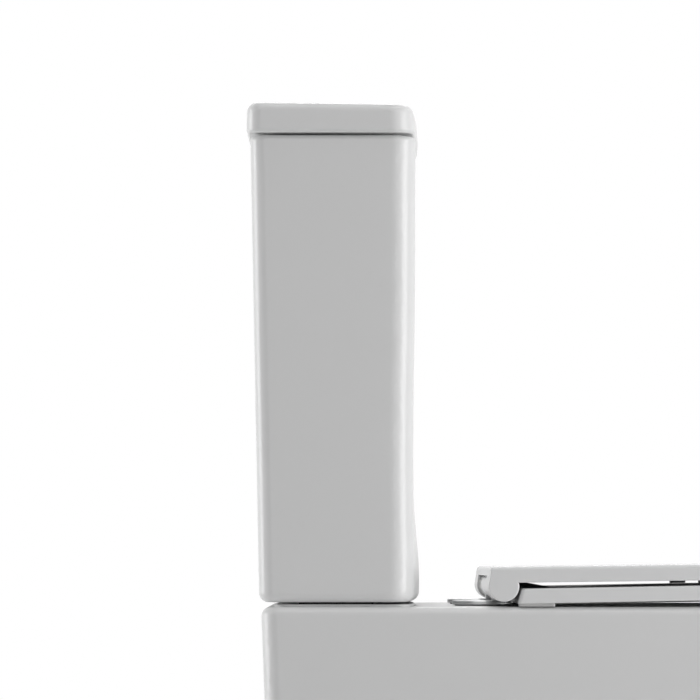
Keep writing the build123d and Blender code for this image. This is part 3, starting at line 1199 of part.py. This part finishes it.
def make_all():
    bowl, trap, way = pan_waterways()
    bolts, seals, washers, nuts = coupling_pieces()
    plates, gaskets, posts, pins = hinge_pieces()
    seat_bolts, seat_washers, seat_nuts = seat_fixing_pieces()
    brackets, screws, caps = floor_fixing_pieces()
    ring = on_hinge(level_ring(), RING_TILT)
    return {
        "pan_shell": make_pan_shell(),
        "pan_bowl": bowl,
        "pan_trap": trap,
        "pan_flush_way": way,
        "cistern_tank": make_cistern_tank(),
        "cistern_lid": make_cistern_lid(),
        "lid_pads": make_lid_pads(),
        "tank_pads": make_tank_pads(),
        "doughnut_seal": make_doughnut_seal(),
        "coupling_bolts": bolts,
        "coupling_seals": seals,
        "coupling_washers": washers,
        "coupling_wing_nuts": nuts,
        "flush_valve_base": make_flush_valve_base(),
        "flush_valve_gasket": make_flush_valve_gasket(),
        "flush_valve_back_nut": make_flush_valve_back_nut(),
        "flush_valve_housing": make_flush_valve_housing(),
        "flush_valve_cap": make_flush_valve_cap(),
        "rocker_pin": make_rocker_pin(),
        "flush_rocker": make_flush_rocker(),
        "overflow_tube": make_overflow_tube(),
        "flush_seal": make_flush_seal(),
        "button_bezel": make_button_bezel(),
        "button_nut": make_button_nut(),
        "full_flush_button": make_button(1),
        "full_flush_rod": make_full_flush_rod(),
        "full_flush_spring": make_spring(1),
        "half_flush_button": make_button(-1),
        "half_flush_rod": make_half_flush_rod(),
        "half_flush_spring": make_spring(-1),
        "half_flush_float": make_half_flush_float(),
        "fill_valve_body": make_fill_valve_body(),
        "fill_valve_gasket": make_fill_valve_gasket(),
        "fill_valve_back_nut": make_fill_valve_back_nut(),
        "fill_valve_head": make_fill_valve_head(),
        "fill_lever_pin": make_fill_lever_pin(),
        "fill_lever": make_fill_lever(),
        "fill_float": make_fill_float(),
        "float_rod": make_float_rod(),
        "hinge_plates": plates,
        "hinge_gaskets": gaskets,
        "hinge_posts": posts,
        "hinge_pins": pins,
        "hinge_dampers": make_hinge_dampers(),
        "seat_fixing_bolts": seat_bolts,
        "seat_fixing_washers": seat_washers,
        "seat_fixing_nuts": seat_nuts,
        "seat_ring": ring,
        "seat_bumpers": make_seat_bumpers(ring),
        "seat_cover": on_hinge(level_cover(), COVER_TILT),
        "cover_bumpers": make_cover_bumpers(ring),
        "floor_brackets": brackets,
        "side_screws": screws,
        "side_caps": caps,
    }


os.makedirs("parts", exist_ok=True)
for name, shape in make_all().items():
    export_step(shape, f"parts/{name}.step")
    print(name, len(shape.solids()), round(shape.volume))
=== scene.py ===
import bpy
import bmesh
import json
import math
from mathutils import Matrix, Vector


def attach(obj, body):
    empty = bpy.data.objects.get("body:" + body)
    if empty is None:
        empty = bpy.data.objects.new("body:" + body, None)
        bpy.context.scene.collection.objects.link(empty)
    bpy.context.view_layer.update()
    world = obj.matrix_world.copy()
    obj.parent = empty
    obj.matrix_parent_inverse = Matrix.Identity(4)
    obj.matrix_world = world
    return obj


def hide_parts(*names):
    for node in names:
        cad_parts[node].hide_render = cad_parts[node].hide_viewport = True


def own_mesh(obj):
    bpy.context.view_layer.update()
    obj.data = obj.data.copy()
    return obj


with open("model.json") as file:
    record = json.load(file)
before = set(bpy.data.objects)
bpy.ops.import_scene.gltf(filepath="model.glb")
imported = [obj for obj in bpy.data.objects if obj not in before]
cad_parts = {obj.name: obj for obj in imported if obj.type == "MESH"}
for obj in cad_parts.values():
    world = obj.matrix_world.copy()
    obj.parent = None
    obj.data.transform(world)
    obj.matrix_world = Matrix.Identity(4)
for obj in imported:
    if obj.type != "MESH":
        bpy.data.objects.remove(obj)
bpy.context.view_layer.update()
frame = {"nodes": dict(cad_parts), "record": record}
scene = bpy.context.scene
slotOf = {piece["node"]: piece["material_slot"] for piece in frame["record"]["subparts"]}
jointOf = {joint["name"]: joint for joint in frame["record"]["behaviour"]["joints"]}
print("frame loaded:", len(frame["nodes"]), "nodes")


# small helpers for node trees

def addNode(tree, kind, place, **values):
    node = tree.nodes.new(kind)
    node.location = place
    for name, value in values.items():
        setattr(node, name, value)
    return node


def setSockets(node, sockets):
    for name, value in sockets.items():
        node.inputs[name].default_value = value


def wire(tree, source, outName, target, inName):
    tree.links.new(source.outputs[outName], target.inputs[inName])


def newMaterial(name):
    material = bpy.data.materials.new(name)
    material.use_nodes = True
    tree = material.node_tree
    tree.nodes.clear()
    output = addNode(tree, "ShaderNodeOutputMaterial", (600, 0))
    shader = addNode(tree, "ShaderNodeBsdfPrincipled", (300, 0))
    wire(tree, shader, "BSDF", output, "Surface")
    return material, tree, shader


# soft mottling shared by every finish: a slow drift of tone and a fine grain

mottleDetail = {"Drift": 2.0, "Grain": 4.0}


def buildMottle():
    tree = bpy.data.node_groups.new("surfaceMottle", "ShaderNodeTree")
    for name in mottleDetail:
        tree.interface.new_socket(name + " Scale", in_out="INPUT", socket_type="NodeSocketFloat")
    for name in mottleDetail:
        tree.interface.new_socket(name, in_out="OUTPUT", socket_type="NodeSocketFloat")
    entry = addNode(tree, "NodeGroupInput", (-600, 0))
    leave = addNode(tree, "NodeGroupOutput", (200, 0))
    coords = addNode(tree, "ShaderNodeTexCoord", (-600, -200))
    for name, place in (("Drift", (-300, 150)), ("Grain", (-300, -150))):
        noise = addNode(tree, "ShaderNodeTexNoise", place)
        setSockets(noise, {"Detail": mottleDetail[name]})
        wire(tree, coords, "Object", noise, "Vector")
        wire(tree, entry, name + " Scale", noise, "Scale")
        wire(tree, noise, "Fac", leave, name)
    return tree


mottle = buildMottle()


def finish(name, look):
    # one recipe for every finish: tone, sheen and relief vary over the surface
    material, tree, shader = newMaterial(name)
    group = addNode(tree, "ShaderNodeGroup", (-700, 0), node_tree=mottle)
    setSockets(group, {"Drift Scale": look["driftScale"], "Grain Scale": look["grainScale"]})
    tone = addNode(tree, "ShaderNodeMix", (-350, 200), data_type="RGBA")
    setSockets(tone, {"A": (*look["shade"], 1), "B": (*look["light"], 1)})
    sheen = addNode(tree, "ShaderNodeMapRange", (-350, 0))
    setSockets(sheen, {"To Min": look["rough"][0], "To Max": look["rough"][1]})
    relief = addNode(tree, "ShaderNodeBump", (-50, -250))
    setSockets(relief, {"Strength": look["relief"], "Distance": look["reliefDepth"]})
    wire(tree, group, "Drift", tone, "Factor")
    wire(tree, tone, "Result", shader, "Base Color")
    wire(tree, group, "Grain", sheen, "Value")
    wire(tree, sheen, "Result", shader, "Roughness")
    wire(tree, group, look["reliefFrom"], relief, "Height")
    wire(tree, relief, "Normal", shader, "Normal")
    setSockets(shader, {
        "Metallic": look["metal"],
        "Coat Weight": look["coat"],
        "Coat Roughness": look["coatRough"],
        "Specular IOR Level": look["specular"],
    })
    return material


glaze = dict(
    shade=(0.75, 0.752, 0.752), light=(0.77, 0.77, 0.77),
    driftScale=3.0, grainScale=60.0, rough=(0.28, 0.36),
    relief=0.03, reliefDepth=0.002, reliefFrom="Drift",
    metal=0.0, coat=0.55, coatRough=0.22, specular=0.0,
)
seatPlastic = dict(
    shade=(0.77, 0.772, 0.775), light=(0.785, 0.786, 0.786),
    driftScale=5.0, grainScale=140.0, rough=(0.48, 0.56),
    relief=0.03, reliefDepth=0.001, reliefFrom="Grain",
    metal=0.0, coat=0.8, coatRough=0.2, specular=0.0,
)
chromePlate = dict(
    shade=(0.5, 0.505, 0.51), light=(0.58, 0.585, 0.59),
    driftScale=20.0, grainScale=400.0, rough=(0.28, 0.38),
    relief=0.02, reliefDepth=0.0005, reliefFrom="Grain",
    metal=1.0, coat=0.0, coatRough=0.05, specular=0.5,
)
zincSteel = dict(
    shade=(0.45, 0.45, 0.46), light=(0.6, 0.6, 0.6),
    driftScale=60.0, grainScale=500.0, rough=(0.3, 0.5),
    relief=0.1, reliefDepth=0.0005, reliefFrom="Grain",
    metal=1.0, coat=0.0, coatRough=0.1, specular=0.5,
)
valvePlastic = dict(
    shade=(0.72, 0.73, 0.71), light=(0.78, 0.78, 0.76),
    driftScale=15.0, grainScale=500.0, rough=(0.4, 0.55),
    relief=0.1, reliefDepth=0.0004, reliefFrom="Grain",
    metal=0.0, coat=0.0, coatRough=0.1, specular=0.45,
)
blackRubber = dict(
    shade=(0.018, 0.018, 0.019), light=(0.035, 0.035, 0.036),
    driftScale=25.0, grainScale=600.0, rough=(0.6, 0.8),
    relief=0.15, reliefDepth=0.0004, reliefFrom="Grain",
    metal=0.0, coat=0.0, coatRough=0.1, specular=0.3,
)
paleBumper = dict(
    shade=(0.5, 0.5, 0.495), light=(0.56, 0.56, 0.555),
    driftScale=40.0, grainScale=600.0, rough=(0.5, 0.65),
    relief=0.1, reliefDepth=0.0004, reliefFrom="Grain",
    metal=0.0, coat=0.0, coatRough=0.1, specular=0.4,
)

finishes = {
    "glaze": finish("whiteGlaze", glaze),
    "seat_plastic": finish("seatPlastic", seatPlastic),
    "chrome": finish("chromePlate", chromePlate),
    "steel": finish("zincSteel", zincSteel),
    "valve_plastic": finish("valvePlastic", valvePlastic),
    "rubber": finish("blackRubber", blackRubber),
    "bumper": finish("paleBumper", paleBumper),
}
print("finishes:", ", ".join(finishes))


# every CAD node takes the finish of its slot

def dressNode(name, material):
    slots = frame["nodes"][name].material_slots
    for slot in slots:
        slot.material = material
    if not slots:
        frame["nodes"][name].data.materials.append(material)


for name in frame["nodes"]:
    dressNode(name, finishes[slotOf[name]])
print("nodes dressed")


# two shells are reshaped a little before they are smoothed, lengths in metres

bowlLip = dict(band=0.0001, lap=0.0015, inward=0.3)
coverHeel = dict(hinge=jointOf["cover_hinge"]["pos_m"], reach=0.014, height=0.009,
                 facingDown=-0.99, drop=0.0024, lean=0.153)


def lapBowl(work):
    # the bowl laps up over the foot of the rim, so no seam shows
    top = max(vert.co.z for vert in work.verts)
    lip = [vert for vert in work.verts if vert.co.z > top - bowlLip["band"]]
    middle = sum((vert.co for vert in lip), Vector()) / len(lip)
    for vert in lip:
        inward = (middle - vert.co).normalized() * bowlLip["inward"] * bowlLip["lap"]
        vert.co += Vector((inward.x, inward.y, bowlLip["lap"]))


def lowerHeel(work):
    # the cover's rear edge comes down over the hub, so the notch behind it shows as one thin line
    hinge = Vector(coverHeel["hinge"])

    def overHub(vert):
        beside = abs(vert.co.y - hinge.y) < coverHeel["reach"]
        return beside and vert.co.z - hinge.z > coverHeel["height"]

    work.normal_update()
    roof = [face for face in work.faces
            if face.normal.z < coverHeel["facingDown"] and all(map(overHub, face.verts))]
    edges = {edge for face in roof for edge in face.edges}
    corners = {vert for face in roof for vert in face.verts}
    bmesh.ops.bisect_plane(work, geom=roof + list(edges) + list(corners),
                           plane_co=hinge, plane_no=(0, 1, 0))
    for vert in corners:
        if vert.co.y > hinge.y:
            vert.co += Vector((0, coverHeel["lean"], -1)) * coverHeel["drop"]


reshapes = {"pan_bowl": lapBowl, "seat_cover": lowerHeel}


# the moulded shells are copied, joined and smoothed, so the gloss runs unbroken over edges

smoothing = dict(mergeDistance=0.00002, seamAngle=35)
shells = {
    "pan_shell": "toilet",
    "pan_bowl": "toilet",
    "cistern_tank": "toilet",
    "cistern_lid": "toilet",
    "seat_ring": "seat",
    "seat_cover": "cover",
    "hinge_plates": "toilet",
    "button_bezel": "toilet",
    "full_flush_button": "full_flush",
    "half_flush_button": "half_flush",
    "pan_trap": "toilet",
    "pan_flush_way": "toilet",
    "hinge_posts": "toilet",
    "hinge_dampers": "cover",
    "side_caps": "toilet",
}


def smoothShell(node, body):
    mesh = frame["nodes"][node].data.copy()
    shell = bpy.data.objects.new(node + "Shell", mesh)
    scene.collection.objects.link(shell)
    work = bmesh.new()
    work.from_mesh(mesh)
    bmesh.ops.remove_doubles(work, verts=work.verts, dist=smoothing["mergeDistance"])
    if node in reshapes:
        reshapes[node](work)
    work.to_mesh(mesh)
    work.free()
    mesh.shade_smooth()
    mesh.set_sharp_from_angle(angle=math.radians(smoothing["seamAngle"]))
    weigh = shell.modifiers.new("evenNormals", "WEIGHTED_NORMAL")
    weigh.keep_sharp = True
    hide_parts(node)
    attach(shell, body)
    return shell


for node, body in shells.items():
    smoothShell(node, body)
print("shells smoothed:", len(shells))


# the button springs stand on their seats; each is smoothed like the shells and given a mesh of its
# own

springs = {"full_flush_spring": "full_flush_press", "half_flush_spring": "half_flush_press"}
for node, joint in springs.items():
    coil = smoothShell(node, "toilet")
    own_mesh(coil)
print("springs:", len(springs))


# white studio: a pale floor, a white backdrop for the camera and large soft lamps

studio = dict(
    floorSize=60.0, floorTone=(0.75, 0.75, 0.75), floorRough=0.6,
    plainTone=0.55, plainFrom=0.8, plainTo=3.0,  # where the lit floor fades to one even tone
    whiteFrom=4.0, whiteTo=8.5,  # where that tone brightens into the backdrop
    white=(1, 1, 1, 1), backdrop=1.0, ambient=0.09,
)


def directSight(tree):
    # 1 in direct view, through glass or in a mirror, 0 for the light thrown on the object
    path = addNode(tree, "ShaderNodeLightPath", (-600, 300))
    seen = addNode(tree, "ShaderNodeMath", (-400, 300), operation="MAXIMUM")
    wire(tree, path, "Is Camera Ray", seen, 0)
    wire(tree, path, "Is Transmission Ray", seen, 1)
    mirrored = addNode(tree, "ShaderNodeMath", (-200, 300), operation="MAXIMUM")
    wire(tree, seen, "Value", mirrored, 0)
    wire(tree, path, "Is Glossy Ray", mirrored, 1)
    return mirrored


def floorFinish():
    # lit and shadowed near the object, one even tone further out, white like the backdrop far out
    material, tree, shader = newMaterial("paleFloor")
    setSockets(shader, {"Base Color": (*studio["floorTone"], 1),
                        "Roughness": studio["floorRough"]})
    coords = addNode(tree, "ShaderNodeTexCoord", (-600, 0))
    reach = addNode(tree, "ShaderNodeVectorMath", (-400, 0), operation="LENGTH")
    fade = addNode(tree, "ShaderNodeMapRange", (-200, 0), interpolation_type="SMOOTHSTEP")
    setSockets(fade, {"From Min": studio["plainFrom"], "From Max": studio["plainTo"]})
    share = addNode(tree, "ShaderNodeMath", (0, 200), operation="MULTIPLY")
    brighten = addNode(tree, "ShaderNodeMapRange", (0, -400), interpolation_type="SMOOTHSTEP")
    setSockets(brighten, {"From Min": studio["whiteFrom"], "From Max": studio["whiteTo"]})
    setSockets(brighten, {"To Min": studio["plainTone"], "To Max": studio["backdrop"]})
    plain = addNode(tree, "ShaderNodeEmission", (300, -400))
    setSockets(plain, {"Color": studio["white"]})
    mixer = addNode(tree, "ShaderNodeMixShader", (500, -200))
    wire(tree, coords, "Object", reach, 0)
    wire(tree, reach, "Value", fade, "Value")
    wire(tree, reach, "Value", brighten, "Value")
    wire(tree, fade, "Result", share, 0)
    wire(tree, directSight(tree), "Value", share, 1)
    wire(tree, brighten, "Result", plain, "Strength")
    wire(tree, share, "Value", mixer, "Fac")
    wire(tree, shader, "BSDF", mixer, 1)
    wire(tree, plain, "Emission", mixer, 2)
    wire(tree, mixer, "Shader", tree.get_output_node("ALL"), "Surface")
    return material


def makeFloor():
    mesh = bpy.data.meshes.new("studioFloor")
    work = bmesh.new()
    bmesh.ops.create_grid(work, x_segments=1, y_segments=1, size=studio["floorSize"] / 2)
    work.to_mesh(mesh)
    work.free()
    floor = bpy.data.objects.new("studioFloor", mesh)
    scene.collection.objects.link(floor)
    mesh.materials.append(floorFinish())


def makeBackdrop():
    world = bpy.data.worlds.new("studioWorld")
    scene.world = world
    world.use_nodes = True
    tree = world.node_tree
    tree.nodes.clear()
    output = addNode(tree, "ShaderNodeOutputWorld", (600, 0))
    mixer = addNode(tree, "ShaderNodeMixShader", (400, 0))
    ambient = addNode(tree, "ShaderNodeBackground", (100, 0))
    setSockets(ambient, {"Color": studio["white"], "Strength": studio["ambient"]})
    backdrop = addNode(tree, "ShaderNodeBackground", (100, -150))
    setSockets(backdrop, {"Color": studio["white"], "Strength": studio["backdrop"]})
    wire(tree, directSight(tree), "Value", mixer, "Fac")
    wire(tree, ambient, "Background", mixer, 1)
    wire(tree, backdrop, "Background", mixer, 2)
    wire(tree, mixer, "Shader", output, "Surface")


def aim(thing, place, target):
    thing.location = place
    thing.rotation_euler = (Vector(target) - Vector(place)).to_track_quat("-Z", "Y").to_euler()
    scene.collection.objects.link(thing)


def addLamp(name, place, target, size, power):
    data = bpy.data.lights.new(name, "AREA")
    data.shape = "RECTANGLE"
    data.size, data.size_y = size
    data.energy = power
    aim(bpy.data.objects.new(name, data), place, target)


lamps = [
    dict(name="frontBox", place=(-1.3, -2.9, 0.85), target=(0, 0, 0.6), size=(1.8, 1.8), power=74),
    dict(name="wallBox", place=(0, 3.3, 0.85), target=(0, 0.2, 0.6), size=(1.6, 2.0), power=66),
    dict(name="topBox", place=(-0.6, 0, 3.4), target=(0, 0, 0.5), size=(2.6, 2.6), power=40),
    dict(name="farBox", place=(2.4, 0.2, 2.9), target=(0, 0.1, 0.5), size=(1.6, 1.6), power=34),
]
makeFloor()
makeBackdrop()
for lamp in lamps:
    addLamp(**lamp)
print("studio lit:", len(lamps), "lamps")


# a long lens, square on to the side of the cistern and a little above the deck

lens = dict(place=(-3.370, 0.2418, 0.4360), lookAt=(-0.180, 0.2418, 0.6052),
            focal=205.3, sensor=36.0, clipEnd=50)


def makeCamera():
    data = bpy.data.cameras.new("sideCamera")
    data.lens = lens["focal"]
    data.sensor_width = lens["sensor"]
    data.clip_end = lens["clipEnd"]
    camera = bpy.data.objects.new("sideCamera", data)
    aim(camera, lens["place"], lens["lookAt"])
    scene.camera = camera


makeCamera()
scene.view_settings.view_transform = "Standard"
print("camera set")
